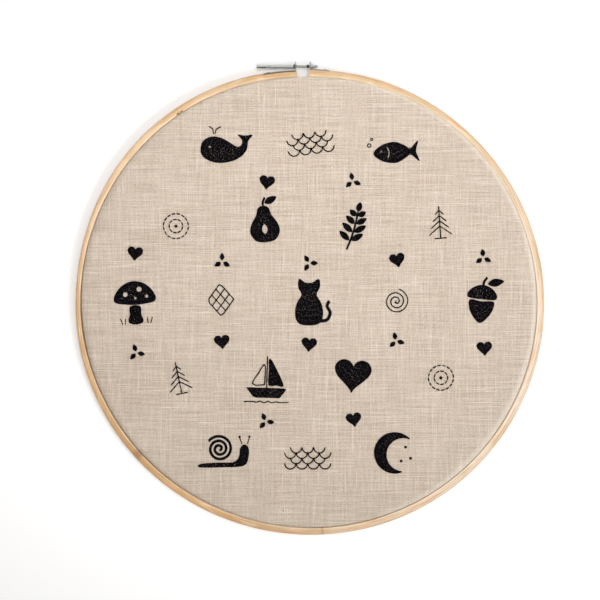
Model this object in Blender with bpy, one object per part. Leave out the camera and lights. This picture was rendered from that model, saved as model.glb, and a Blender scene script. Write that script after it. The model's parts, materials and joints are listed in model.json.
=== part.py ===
"""Hoop embroidery art: linen stretched between the two wooden rings of a 14 inch hoop, closed by a screw.

The hoop lies on its back with its face up (+Z) and its screw towards +Y. The origin is under the middle of
the whole object's box, on the surface that it lies on.
"""

import math

import bmesh
import bpy
from mathutils import Matrix, Vector

MM = 0.001
GAP = 0.3 * MM                # clearance between pieces that touch on the real hoop

# Hoop as a whole: a hand-bent ring is a little oval, and a little flat where it is split
HOOP_OUTER_R = 178.0 * MM     # mean outside radius of a 14 inch hoop
HOOP_DEPTH = 10.0 * MM
OVAL = 0.0048                 # share by which the long half-axis exceeds the mean radius
OVAL_AXIS = math.radians(-23.4)
FLAT_DEPTH = 1.4 * MM         # how far the rim lies inside the oval at the split
FLAT_SPREAD = math.radians(17)
STATIONS = 96                 # steps round the full hoop

# Outer ring
OUTER_WALL = 5.2 * MM
OUTER_EASE = 1.2 * MM         # rounding of its outer edges
OUTER_INNER_EASE = 0.6 * MM
SPLIT_LEFT_X = -8.7 * MM      # the two cut ends, from the hoop's centre line
SPLIT_RIGHT_X = 0.0

# Cloth, between the rings and over the face
CLOTH = 1.0 * MM
CLOTH_HEM_Z = 0.6 * MM        # where it is trimmed, above the back of the rings
ROLL_R = 3.0 * MM             # outer radius of the cloth where it rolls over the inner ring
CLOTH_FACE_LOOPS = (45 * MM, 95 * MM, 140 * MM)

# Inner ring
INNER_WALL = 5.0 * MM
INNER_EASE = 0.6 * MM

# Screw, brackets and tacks
AXIS_R = 179.3 * MM           # the screw's axis, from the hoop's centre
AXIS_Z = HOOP_DEPTH / 2
ROD_R = 1.25 * MM
ROD_END_X = 6.5 * MM
BARREL_R = 1.8 * MM
BARREL_END_X = -39.9 * MM
BARREL_ROUND = 0.5 * MM
WAIST_R = 1.45 * MM           # the groove that sets off the barrel's slotted end
WAIST_FROM_END = 9.5 * MM
WAIST_LENGTH = 1.2 * MM
SLOT_WIDTH = 0.8 * MM
SLOT_DEPTH = 4.0 * MM
EAR_R = 3.7 * MM              # the ear's round top, about the screw's axis
BRACKET_WALL = 0.7 * MM       # sheet metal, the same in foot and ear
EAR_LEFT_X = -10.2 * MM       # middle of each ear's thickness
EAR_RIGHT_X = 0.9 * MM
FOOT_LEFT_X = -35.0 * MM      # far end of each foot
FOOT_RIGHT_X = 15.6 * MM
FOOT_CORNER = 1.2 * MM
BEND_R = 1.0 * MM             # middle of the bent metal, from foot to ear
COLLAR_R = 2.2 * MM
COLLAR_END_X = 2.6 * MM
TACK_LEFT_X = -31.0 * MM
TACK_RIGHT_X = 12.4 * MM
TACK_HEAD_R = 1.7 * MM
TACK_HEAD_HEIGHT = 0.8 * MM
TACK_SHANK_R = 0.6 * MM
TACK_BITE = 3.2 * MM          # depth of its hole in the outer ring
TACK_SEAT = GAP + BRACKET_WALL + GAP    # underside of its head, above the outer ring


# Round shapes shared by all the pieces

def rim_radius(mean_radius, angle):
    """The hoop's radius in a direction, for what would be a circle of mean_radius on a true hoop."""
    oval = mean_radius * (1 + OVAL * math.cos(2 * (angle - OVAL_AXIS)))
    off_split = (angle - math.pi / 2 + math.pi) % math.tau - math.pi
    return oval - FLAT_DEPTH * math.exp(-(off_split / FLAT_SPREAD) ** 2)


def rim_point(mean_radius, angle, z):
    radius = rim_radius(mean_radius, angle)
    return Vector((radius * math.cos(angle), radius * math.sin(angle), z))


def rim_angle(mean_radius, x):
    """The direction near the top of the hoop at which the rim lies at x."""
    angle = math.acos(x / mean_radius)
    for _ in range(6):
        angle = math.acos(x / rim_radius(mean_radius, angle))
    return angle


def arc(centre, radius, start_deg, end_deg, steps):
    """Points of an arc in a plane, both ends included."""
    points = []
    for step in range(steps + 1):
        angle = math.radians(start_deg + (end_deg - start_deg) * step / steps)
        points.append((centre[0] + radius * math.cos(angle), centre[1] + radius * math.sin(angle)))
    return points


def eased_section(inner_r, outer_r, height, inner_ease, outer_ease, front_ease=None):
    """A ring's section as (radius, z), anticlockwise, with its four edges rounded."""
    front = outer_ease if front_ease is None else front_ease
    return (arc((inner_r + inner_ease, inner_ease), inner_ease, 180, 270, 2)
            + arc((outer_r - outer_ease, outer_ease), outer_ease, 270, 360, 3)
            + arc((outer_r - front, height - front), front, 0, 90, 3)
            + arc((inner_r + inner_ease, height - inner_ease), inner_ease, 90, 180, 2))


# Mesh helpers

def material(name, colour, roughness, metallic=0.0):
    made = bpy.data.materials.new(name)
    made.use_nodes = True
    shader = made.node_tree.nodes["Principled BSDF"]
    shader.inputs["Base Color"].default_value = (*colour, 1.0)
    shader.inputs["Roughness"].default_value = roughness
    shader.inputs["Metallic"].default_value = metallic
    made.diffuse_color = (*colour, 1.0)
    return made


def add_object(name, bm, finish, smooth=True):
    bmesh.ops.recalc_face_normals(bm, faces=bm.faces)
    mesh = bpy.data.meshes.new(name)
    bm.to_mesh(mesh)
    bm.free()
    if smooth:
        mesh.shade_smooth()
        mesh.set_sharp_from_angle(angle=math.radians(35))
    mesh.materials.append(finish)
    made = bpy.data.objects.new(name, mesh)
    bpy.context.collection.objects.link(made)
    return made


def cutter(name, bm, parent):
    made = add_object(name, bm, materials["steel"], smooth=False)
    made.hide_render = True
    made.display_type = 'WIRE'
    made.parent = parent
    return made


def boolean(target, tool, operation='DIFFERENCE'):
    step = target.modifiers.new(f"{operation.title()} {tool.name}", 'BOOLEAN')
    step.operation = operation
    step.solver = 'EXACT'
    step.object = tool


def cylinder(radius, start, end, segments=20):
    """A capped cylinder between two points."""
    start, end = Vector(start), Vector(end)
    turn = (end - start).to_track_quat('Z', 'Y').to_matrix().to_4x4()
    bm = bmesh.new()
    bmesh.ops.create_cone(bm, cap_ends=True, segments=segments, radius1=radius, radius2=radius,
                          depth=(end - start).length,
                          matrix=Matrix.Translation((start + end) / 2) @ turn)
    return bm


def swept_ring(sections, closed):
    """A ring through a list of loops of points, one loop for each direction."""
    bm = bmesh.new()
    loops = [[bm.verts.new(point) for point in section] for section in sections]
    count = len(loops[0])
    pairs = list(zip(loops, loops[1:]))
    if closed:
        pairs.append((loops[-1], loops[0]))
    for here, there in pairs:
        for i in range(count):
            j = (i + 1) % count
            bm.faces.new((here[i], here[j], there[j], there[i]))
    if not closed:
        bm.faces.new(loops[0])
        bm.faces.new(reversed(loops[-1]))
    return bm


def ring_sections(section, angles):
    return [[rim_point(radius, angle, z) for radius, z in section] for angle in angles]


def turned(profile, segments=24):
    """A solid turned about Z from (radius, z) points that start and end on the axis."""
    bm = bmesh.new()
    points = [bm.verts.new((radius, 0.0, z)) for radius, z in profile]
    edges = [bm.edges.new(pair) for pair in zip(points, points[1:])]
    bmesh.ops.spin(bm, geom=edges + points, axis=(0, 0, 1), cent=(0, 0, 0),
                   angle=math.tau, steps=segments, use_merge=True)
    bmesh.ops.remove_doubles(bm, verts=bm.verts, dist=1e-6)
    return bm


def bent_strip(stations, wall):
    """A thin strip through stations of (point, direction across its thickness, half-width along Z)."""
    bm = bmesh.new()
    loops = []
    for point, across, half_width in stations:
        shift = across * (wall / 2)
        rise = Vector((0, 0, half_width))
        corners = (point - shift - rise, point + shift - rise, point + shift + rise, point - shift + rise)
        loops.append([bm.verts.new(corner) for corner in corners])
    for here, there in zip(loops, loops[1:]):
        for i in range(4):
            j = (i + 1) % 4
            bm.faces.new((here[i], here[j], there[j], there[i]))
    bm.faces.new(loops[0])
    bm.faces.new(reversed(loops[-1]))
    return bm


# The wooden rings

def outer_ring(parent):
    inner_r = HOOP_OUTER_R - OUTER_WALL
    start = rim_angle(HOOP_OUTER_R, SPLIT_LEFT_X)
    sweep = math.tau + rim_angle(HOOP_OUTER_R, SPLIT_RIGHT_X) - start
    angles = [start + sweep * step / STATIONS for step in range(STATIONS + 1)]
    section = eased_section(inner_r, HOOP_OUTER_R, HOOP_DEPTH, OUTER_INNER_EASE, OUTER_EASE)
    made = add_object("outer_ring", swept_ring(ring_sections(section, angles), closed=False), materials["wood"])
    made.parent = parent
    return made


def inner_ring(parent):
    """Its front outer edge is rounded to the inside of the cloth's roll, a gap away."""
    outer_r = HOOP_OUTER_R - OUTER_WALL - GAP - CLOTH - GAP
    angles = [math.tau * step / STATIONS for step in range(STATIONS)]
    section = eased_section(outer_r - INNER_WALL, outer_r, HOOP_DEPTH, INNER_EASE, INNER_EASE,
                            front_ease=ROLL_R - CLOTH - GAP)
    made = add_object("inner_ring", swept_ring(ring_sections(section, angles), closed=True), materials["wood"])
    made.parent = parent
    return made


# The cloth: face, roll and the band between the rings, one sheet

def cloth(parent):
    outer_r = HOOP_OUTER_R - OUTER_WALL - GAP
    face_z = HOOP_DEPTH + GAP + CLOTH
    roll_centre = (outer_r - ROLL_R, face_z - ROLL_R)
    outside = arc(roll_centre, ROLL_R, 90, 0, 4) + [(outer_r, CLOTH_HEM_Z)]
    inside = [(outer_r - CLOTH, CLOTH_HEM_Z)] + arc(roll_centre, ROLL_R - CLOTH, 0, 90, 4)
    section = ([(loop, face_z) for loop in CLOTH_FACE_LOOPS] + outside
               + inside + [(loop, face_z - CLOTH) for loop in reversed(CLOTH_FACE_LOOPS)])
    angles = [math.tau * step / STATIONS for step in range(STATIONS)]
    bm = bmesh.new()
    loops = [[bm.verts.new(rim_point(radius, angle, z)) for angle in angles] for radius, z in section]
    for here, there in zip(loops, loops[1:]):
        for i in range(STATIONS):
            j = (i + 1) % STATIONS
            bm.faces.new((here[i], here[j], there[j], there[i]))
    bm.faces.new(loops[0])
    bm.faces.new(reversed(loops[-1]))
    made = add_object("cloth", bm, materials["linen"])
    made.parent = parent
    return made


# The brackets: a foot along the rim, a bend and an ear

def foot_stations(far_x, ear_x):
    """From the foot's far end to the start of its bend, just inside the ear."""
    middle_r = HOOP_OUTER_R + GAP + BRACKET_WALL / 2
    toward_ear = math.copysign(1, ear_x - far_x)
    far = rim_angle(middle_r, far_x)
    near = rim_angle(middle_r, ear_x - toward_ear * BEND_R)
    corner = rim_angle(middle_r, far_x + toward_ear * FOOT_CORNER)
    stations = []
    steps = 5
    angles = [far] + [corner + (near - corner) * step / steps for step in range(steps + 1)]
    for angle in angles:
        point = rim_point(middle_r, angle, AXIS_Z)
        half_width = EAR_R - (FOOT_CORNER if angle == far else 0.0)
        stations.append((point, Vector((math.cos(angle), math.sin(angle), 0)), half_width))
    return stations


def ear_stations(ear_x, foot_end, toward_ear):
    """The bend from the foot into the ear, the ear up to the screw's axis, and its round top."""
    stations = []
    base_y = foot_end.y
    for step in (1, 2, 3):
        turn = math.radians(90 * step / 3)
        point = Vector((ear_x - toward_ear * BEND_R * (1 - math.sin(turn)),
                        base_y + BEND_R * (1 - math.cos(turn)), AXIS_Z))
        across = Vector((-toward_ear * math.sin(turn), math.cos(turn), 0))
        stations.append((point, across, EAR_R))
    for rise_deg in (0, 20, 38, 55, 70, 82):
        rise = math.radians(rise_deg)
        point = Vector((ear_x, AXIS_R + EAR_R * math.sin(rise), AXIS_Z))
        stations.append((point, Vector((-toward_ear, 0, 0)), EAR_R * math.cos(rise)))
    return stations


def bracket(name, far_x, ear_x, tack_x, parent, collar_end_x=None):
    toward_ear = math.copysign(1, ear_x - far_x)
    foot = foot_stations(far_x, ear_x)
    stations = foot + ear_stations(ear_x, foot[-1][0], toward_ear)
    made = add_object(name, bent_strip(stations, BRACKET_WALL), materials["steel"])
    made.parent = parent
    if collar_end_x is not None:
        collar = cylinder(COLLAR_R, (ear_x, AXIS_R, AXIS_Z), (collar_end_x, AXIS_R, AXIS_Z), segments=24)
        boolean(made, cutter(f"{name}_collar", collar, parent), 'UNION')
    reach = 4 * BRACKET_WALL
    hole = cylinder(ROD_R + GAP, (ear_x - reach, AXIS_R, AXIS_Z), (ear_x + reach, AXIS_R, AXIS_Z), segments=24)
    boolean(made, cutter(f"{name}_rod_hole", hole, parent))
    boolean(made, tack_hole(f"{name}_tack_hole", tack_x, parent))
    return made


# The tacks, and the holes that they sit in

def tack_place(tack_x):
    angle = rim_angle(HOOP_OUTER_R, tack_x)
    outward = Vector((math.cos(angle), math.sin(angle), 0))
    return rim_point(HOOP_OUTER_R, angle, AXIS_Z), outward


def tack_hole(name, tack_x, parent):
    surface, outward = tack_place(tack_x)
    hole = cylinder(TACK_SHANK_R + GAP, surface - outward * TACK_BITE,
                    surface + outward * (TACK_SEAT + BRACKET_WALL), segments=12)
    return cutter(name, hole, parent)


def tack(name, tack_x, parent):
    """Turned about its own Z, its head's underside at the origin and its shank down -Z."""
    dome = [(TACK_HEAD_R * math.sin(math.radians(d)), TACK_HEAD_HEIGHT * math.cos(math.radians(d)))
            for d in (90, 65, 40, 18)]
    tip = TACK_SEAT + TACK_BITE - GAP
    profile = ([(0.0, -tip), (TACK_SHANK_R * 0.5, -tip), (TACK_SHANK_R, -tip + TACK_SHANK_R * 1.5),
                (TACK_SHANK_R, 0.0)] + dome + [(0.0, TACK_HEAD_HEIGHT)])
    made = add_object(name, turned(profile, segments=12), materials["steel"])
    surface, outward = tack_place(tack_x)
    made.location = surface + outward * TACK_SEAT
    made.rotation_mode = 'QUATERNION'
    made.rotation_quaternion = outward.to_track_quat('Z', 'Y')
    made.parent = parent
    return made


# The screw: its origin is on its axis, in the plane of the hoop's centre line

def screw(parent):
    shoulder_x = EAR_LEFT_X - BRACKET_WALL / 2 - GAP
    waist_x = BARREL_END_X + WAIST_FROM_END
    rod = [(0.0, ROD_END_X), (ROD_R * 0.7, ROD_END_X), (ROD_R, ROD_END_X - ROD_R * 0.5), (ROD_R, shoulder_x)]
    barrel = [(BARREL_R - 0.25 * MM, shoulder_x), (BARREL_R, shoulder_x - 0.25 * MM),
              (BARREL_R, waist_x + WAIST_LENGTH), (WAIST_R, waist_x + WAIST_LENGTH * 0.7),
              (WAIST_R, waist_x + WAIST_LENGTH * 0.3), (BARREL_R, waist_x)]
    end = [(BARREL_R - BARREL_ROUND * (1 - math.cos(math.radians(d))),
            BARREL_END_X + BARREL_ROUND * (1 - math.sin(math.radians(d)))) for d in (0, 30, 60, 90)]
    made = add_object("screw", turned(rod + barrel + end + [(0.0, BARREL_END_X)]), materials["steel"])
    made.location = (0, AXIS_R, AXIS_Z)
    made.rotation_euler = (0, math.pi / 2, 0)
    made.parent = parent
    slot = bmesh.new()
    bmesh.ops.create_cube(slot, size=1.0)
    bmesh.ops.scale(slot, verts=slot.verts, vec=(2 * SLOT_DEPTH, SLOT_WIDTH, 4 * BARREL_R))
    slot_tool = cutter("screw_slot", slot, parent)
    slot_tool.location = (BARREL_END_X, AXIS_R, AXIS_Z)
    boolean(made, slot_tool)
    return made


def lowest_rim():
    """How far the outer ring reaches below the hoop's centre, over its stations."""
    return max(-rim_point(HOOP_OUTER_R, math.tau * step / 720, 0).y for step in range(720))


def main():
    hoop = bpy.data.objects.new("hoop_centre", None)
    bpy.context.collection.objects.link(hoop)
    hoop.location = (0, -(AXIS_R + EAR_R - lowest_rim()) / 2, 0)
    ring = outer_ring(hoop)
    for side, x in (("left", TACK_LEFT_X), ("right", TACK_RIGHT_X)):
        boolean(ring, tack_hole(f"ring_tack_hole_{side}", x, hoop))
        tack(f"tack_{side}", x, hoop)
    inner_ring(hoop)
    cloth(hoop)
    bracket("bracket_left", FOOT_LEFT_X, EAR_LEFT_X, TACK_LEFT_X, hoop)
    bracket("bracket_right", FOOT_RIGHT_X, EAR_RIGHT_X, TACK_RIGHT_X, hoop, COLLAR_END_X)
    screw(hoop)


for leftover in list(bpy.data.objects):
    bpy.data.objects.remove(leftover, do_unlink=True)

materials = {
    "wood": material("wood", (0.72, 0.50, 0.29), 0.55),
    "linen": material("linen", (0.66, 0.57, 0.47), 0.95),
    "steel": material("steel", (0.70, 0.71, 0.72), 0.28, metallic=1.0),
}

main()
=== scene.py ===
"""Hoop embroidery art: bare wood, slub linen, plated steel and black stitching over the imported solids.

Lengths are in metres in the frame of the solids, with the face up (+Z) and the screw towards +Y. The sketches
of the stitched motifs are in millimetres about their own middle.
"""

import json
import math
import random

import bmesh
import bpy
import numpy as np
from mathutils import Matrix, Vector

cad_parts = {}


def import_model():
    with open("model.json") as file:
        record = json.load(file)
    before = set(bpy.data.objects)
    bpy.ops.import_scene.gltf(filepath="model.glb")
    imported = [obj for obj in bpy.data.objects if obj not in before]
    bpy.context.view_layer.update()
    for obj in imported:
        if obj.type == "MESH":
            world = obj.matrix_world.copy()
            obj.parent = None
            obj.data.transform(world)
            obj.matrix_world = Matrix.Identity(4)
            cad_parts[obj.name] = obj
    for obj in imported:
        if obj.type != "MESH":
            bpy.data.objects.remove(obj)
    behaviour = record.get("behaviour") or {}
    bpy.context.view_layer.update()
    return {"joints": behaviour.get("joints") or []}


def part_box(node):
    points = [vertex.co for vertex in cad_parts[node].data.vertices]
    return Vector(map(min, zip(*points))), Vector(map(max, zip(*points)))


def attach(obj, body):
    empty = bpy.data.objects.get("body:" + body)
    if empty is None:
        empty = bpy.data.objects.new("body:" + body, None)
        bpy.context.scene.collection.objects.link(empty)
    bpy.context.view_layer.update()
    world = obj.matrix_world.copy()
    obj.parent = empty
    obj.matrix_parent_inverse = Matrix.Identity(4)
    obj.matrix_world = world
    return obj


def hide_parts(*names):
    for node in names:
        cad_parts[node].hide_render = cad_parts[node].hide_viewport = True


MM = 0.001

# The hoop, as its solids have it
AXIS_R = 179.3 * MM           # the screw's axis, from the hoop's centre
AXIS_Z = 5.0 * MM
HOOP_OUTER_R = 178.0 * MM
HOOP_DEPTH = 10.0 * MM
OVAL = 0.0048
OVAL_AXIS = math.radians(-23.4)
FLAT_DEPTH = 1.4 * MM
FLAT_SPREAD = math.radians(17)
OUTER_WALL = 5.2 * MM
INNER_WALL = 5.0 * MM
GAP = 0.3 * MM
CLOTH = 1.0 * MM
CLOTH_HEM_Z = 0.6 * MM
ROLL_WIDE = 4.0 * MM          # the cloth's edge rolls wide and shallow over the inner ring
ROLL_DEEP = 1.9 * MM
SPLIT_LEFT_X = -9.4 * MM
SPLIT_RIGHT_X = 0.0

# The screw, brackets and tacks, as their solids have them
ROD_R = 1.25 * MM
ROD_END_X = 6.5 * MM
THREAD_PITCH = 0.45 * MM
THREAD_DEPTH = 0.24 * MM
BARREL_R = 1.7 * MM
BARREL_END_X = -39.9 * MM
BARREL_ROUND = 0.5 * MM
WAIST_R = 1.45 * MM
WAIST_FROM_END = 9.5 * MM
WAIST_LENGTH = 1.2 * MM
SLOT_WIDTH = 0.8 * MM
SLOT_DEPTH = 7.4 * MM
SLOT_TURN = math.radians(38)  # how far the slot is turned, from upright towards the hoop
EAR_R = 3.7 * MM
BRACKET_WALL = 0.7 * MM
EAR_LEFT_X = -10.2 * MM
EAR_RIGHT_X = 0.9 * MM
FOOT_LEFT_X = -35.0 * MM
FOOT_RIGHT_X = 15.6 * MM
FOOT_CORNER = 1.2 * MM
BEND_R = 1.0 * MM
COLLAR_R = 2.2 * MM
COLLAR_END_X = 2.6 * MM
TACK_LEFT_X = -31.0 * MM
TACK_RIGHT_X = 12.4 * MM
TACK_HEAD_R = 1.7 * MM
TACK_HEAD_HEIGHT = 0.8 * MM
TACK_SHANK_R = 0.6 * MM
TACK_BITE = 3.2 * MM
TACK_SEAT = GAP + BRACKET_WALL + GAP

# Camera: straight above, a little to the left of the hoop's middle
LENS_MM = 85.0
SENSOR_MM = 36.0
VIEW_WIDTH = 455.1 * MM       # what the picture spans at the cloth's face
VIEW_CENTRE = (-6.90 * MM, -1.80 * MM)

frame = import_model()
CENTRE_Y = frame["joints"][0]["pos_m"][1] - AXIS_R
FACE_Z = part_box("cloth")[1].z


# Round shapes

def rim(mean_radius, angle):
    """The hoop's radius in each direction: a little oval, and flatter where it is split."""
    oval = mean_radius * (1 + OVAL * np.cos(2 * (angle - OVAL_AXIS)))
    return oval - FLAT_DEPTH * bell(off(angle, 90), FLAT_SPREAD)


def rim_angle(mean_radius, x):
    """The direction near the top of the hoop at which the rim lies at x."""
    angle = math.acos(x / mean_radius)
    for _ in range(6):
        angle = math.acos(x / rim(mean_radius, angle))
    return angle


def around(radius, angle, z):
    """Points at a radius from the hoop's centre, as an array whose last axis is x, y, z."""
    radius, angle, z = np.broadcast_arrays(radius, angle, z)
    return np.stack((radius * np.cos(angle), radius * np.sin(angle) + CENTRE_Y, z), axis=-1)


def arc(centre, radius, start_deg, end_deg, steps, rise=None):
    """Points of an arc in a plane, both ends included. rise is its other radius, where it is oval."""
    rise = radius if rise is None else rise
    angle = np.radians(np.linspace(start_deg, end_deg, steps + 1))
    return np.stack((centre[0] + radius * np.cos(angle), centre[1] + rise * np.sin(angle)), axis=-1)


def wobble(angle, depth, seed, slowest=2, fastest=11):
    """A gentle unevenness all round the hoop, the same each time for the same seed."""
    draw = random.Random(seed)
    total = np.zeros_like(angle)
    for turns in range(slowest, fastest):
        total = total + draw.uniform(0.3, 1.0) * np.sin(turns * angle + draw.uniform(0, math.tau))
    return depth * total / (fastest - slowest)


def bell(distance, width):
    return np.exp(-(distance / width) ** 2)


def off(angle, direction_deg):
    """How far each angle is from a direction, from -pi to pi."""
    return (angle - math.radians(direction_deg) + math.pi) % math.tau - math.pi


# Meshes

def make(name, points, faces, finish, body="hoop", smooth_deg=40, uv=None):
    """A piece from arrays of points and faces. uv has one pair for each corner of each face, in millimetres."""
    mesh = bpy.data.meshes.new(name)
    mesh.from_pydata(points.reshape(-1, 3).tolist(), [], [list(map(int, face)) for face in faces])
    if uv is not None:
        layer = mesh.uv_layers.new(name="grain")
        layer.data.foreach_set("uv", uv.astype(np.float32).ravel())
    bm = bmesh.new()
    bm.from_mesh(mesh)
    bmesh.ops.recalc_face_normals(bm, faces=bm.faces)
    bm.to_mesh(mesh)
    bm.free()
    mesh.shade_smooth()
    mesh.set_sharp_from_angle(angle=math.radians(smooth_deg))
    mesh.materials.append(finish)
    piece = bpy.data.objects.new(name, mesh)
    bpy.context.scene.collection.objects.link(piece)
    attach(piece, body)
    return piece


def grid_faces(rows, columns, close_rows=False, close_columns=False):
    """Quads over points that are numbered row by row."""
    row = np.arange(rows if close_rows else rows - 1)[:, None]
    column = np.arange(columns if close_columns else columns - 1)[None, :]
    here, there = row * columns, (row + 1) % rows * columns
    left, right = column, (column + 1) % columns
    corners = np.broadcast_arrays(here + left, here + right, there + right, there + left)
    return np.stack(corners, axis=-1).reshape(-1, 4)


def grid_uv(along, across):
    """The corners' places on a grid, from the rows' and the columns' own measures, one more than the quads have."""
    u0, v0 = np.meshgrid(along[:-1], across[:-1], indexing="ij")
    u1, v1 = np.meshgrid(along[1:], across[1:], indexing="ij")
    corners = ((u0, v0), (u0, v1), (u1, v1), (u1, v0))
    return np.stack([np.stack(corner, axis=-1) for corner in corners], axis=-2).reshape(-1, 4, 2)


def boolean(piece, tool, operation='DIFFERENCE'):
    """Cuts or joins for good, and deletes the tool."""
    step = piece.modifiers.new(operation.title(), 'BOOLEAN')
    step.operation = operation
    step.solver = 'EXACT'
    step.object = tool
    bake_modifiers(piece)
    bpy.data.objects.remove(tool, do_unlink=True)


def bake_modifiers(piece):
    evaluated = piece.evaluated_get(bpy.context.evaluated_depsgraph_get())
    mesh = bpy.data.meshes.new_from_object(evaluated)
    piece.modifiers.clear()
    piece.data = mesh


def tool_cylinder(radius, start, end, segments=32):
    """A loose cylinder to cut or join with."""
    start, end = Vector(start), Vector(end)
    turn = (end - start).to_track_quat('Z', 'Y').to_matrix().to_4x4()
    bm = bmesh.new()
    bmesh.ops.create_cone(bm, cap_ends=True, segments=segments, radius1=radius, radius2=radius,
                          depth=(end - start).length, matrix=Matrix.Translation((start + end) / 2) @ turn)
    return loose_object(bm)


def tool_box(centre, size, turn_x=0.0):
    bm = bmesh.new()
    turn = Matrix.Rotation(turn_x, 4, 'X')
    bmesh.ops.create_cube(bm, size=1.0, matrix=Matrix.Translation(centre) @ turn @ Matrix.Diagonal((*size, 1)))
    return loose_object(bm)


def loose_object(bm):
    mesh = bpy.data.meshes.new("tool")
    bm.to_mesh(mesh)
    bm.free()
    tool = bpy.data.objects.new("tool", mesh)
    bpy.context.scene.collection.objects.link(tool)
    return tool


# Material helpers

def new_material(name, roughness, metallic=0.0, **sockets):
    """A material with its shader's uniform values set, and its node tree."""
    made = bpy.data.materials.new(name)
    made.use_nodes = True
    shader = made.node_tree.nodes["Principled BSDF"]
    shader.inputs["Roughness"].default_value = roughness
    shader.inputs["Metallic"].default_value = metallic
    for socket, value in sockets.items():
        shader.inputs[socket.replace("_", " ")].default_value = value
    return made, made.node_tree, shader


def node(tree, kind, inputs=None, **settings):
    """A node with its inputs set or linked by name or number."""
    made = tree.nodes.new(kind)
    for key, value in settings.items():
        setattr(made, key, value)
    for key, value in (inputs or {}).items():
        if isinstance(value, bpy.types.NodeSocket):
            tree.links.new(value, made.inputs[key])
        else:
            made.inputs[key].default_value = value
    return made


def math_node(tree, operation, a, b=0.0, c=0.0, clamp=False):
    return node(tree, "ShaderNodeMath", {0: a, 1: b, 2: c}, operation=operation, use_clamp=clamp).outputs[0]


def stretched_noise(tree, place, size, detail=2.0, rough=0.5, shift=0.0):
    """Noise whose blotches are about size long in each direction, in the units of place."""
    scale = tuple(1.0 / length for length in size)
    mapped = node(tree, "ShaderNodeMapping", {"Vector": place, "Location": (shift, shift, shift), "Scale": scale})
    made = node(tree, "ShaderNodeTexNoise", {"Vector": mapped.outputs[0], "Scale": 1.0, "Detail": detail,
                                             "Roughness": rough})
    return made.outputs["Fac"]


def between(tree, value, low, high, to_low=0.0, to_high=1.0):
    """value's stretch from low to high, smoothly brought to another one."""
    made = node(tree, "ShaderNodeMapRange", {"Value": value, "From Min": low, "From Max": high,
                                             "To Min": to_low, "To Max": to_high})
    made.interpolation_type = 'SMOOTHSTEP'
    return made.outputs["Result"]


def ramp(tree, value, stops):
    made = node(tree, "ShaderNodeValToRGB", {"Fac": value})
    elements = made.color_ramp.elements
    while len(elements) < len(stops):
        elements.new(0.5)
    for element, (position, colour) in zip(elements, stops):
        element.position = position
        element.color = (*colour, 1.0)
    return made.outputs["Color"]


def mix_colour(tree, factor, a, b, blend='MIX'):
    made = node(tree, "ShaderNodeMix", data_type='RGBA', blend_type=blend)
    for socket, value in ((made.inputs[0], factor), (made.inputs[6], a), (made.inputs[7], b)):
        if isinstance(value, bpy.types.NodeSocket):
            tree.links.new(value, socket)
        else:
            socket.default_value = value if isinstance(value, float) else (*value, 1.0)
    return made.outputs[2]


def bump(tree, shader, height, depth):
    """Relief of a real depth in metres for a height from 0 to 1."""
    made = node(tree, "ShaderNodeBump", {"Height": height, "Distance": depth, "Strength": 1.0})
    tree.links.new(made.outputs[0], shader.inputs["Normal"])


# Linen

LINEN_DARK = (0.412, 0.329, 0.258)
LINEN_MIDDLE = (0.537, 0.445, 0.357)
LINEN_PALE = (0.680, 0.590, 0.500)
EDGE_LIT_DEG = 15.0          # the side towards which the rolled edge has a painted highlight; the other side has painted shade
WEAVE_PITCH = 0.95 * MM

# Small marks on the cloth: x and y from the hoop's centre, half-length, half-width, turn, and how dark
SPECKS = (
    (68.7, 42.8, 0.9, 0.7, 0, 0.55),
    (24.7, 49.6, 2.4, 1.6, 20, 0.10),
    (68.0, 150.6, 1.8, 1.3, 0, 0.12),
    (67.2, -107.6, 2.2, 0.45, 58, 0.30),
    (-89.2, 10.1, 1.6, 1.1, 0, 0.12),
    (-82.4, -112.9, 1.5, 1.2, 0, 0.10),
    (-19.6, -158.9, 0.8, 0.8, 0, 0.60),
)


def speck(tree, place, x, y, half_length, half_width, turn_deg, z=FACE_Z):
    """1 at a mark's middle and 0 outside it."""
    centre = (x * MM, y * MM + CENTRE_Y, z)
    mapped = node(tree, "ShaderNodeMapping", {
        "Vector": place, "Location": centre, "Rotation": (0, 0, math.radians(turn_deg)),
        "Scale": (half_length * MM, half_width * MM, 2 * MM)}, vector_type='TEXTURE')
    far = node(tree, "ShaderNodeVectorMath", {0: mapped.outputs[0]}, operation='LENGTH').outputs["Value"]
    return between(tree, far, 0.3, 1.0, 1.0, 0.0)


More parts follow.
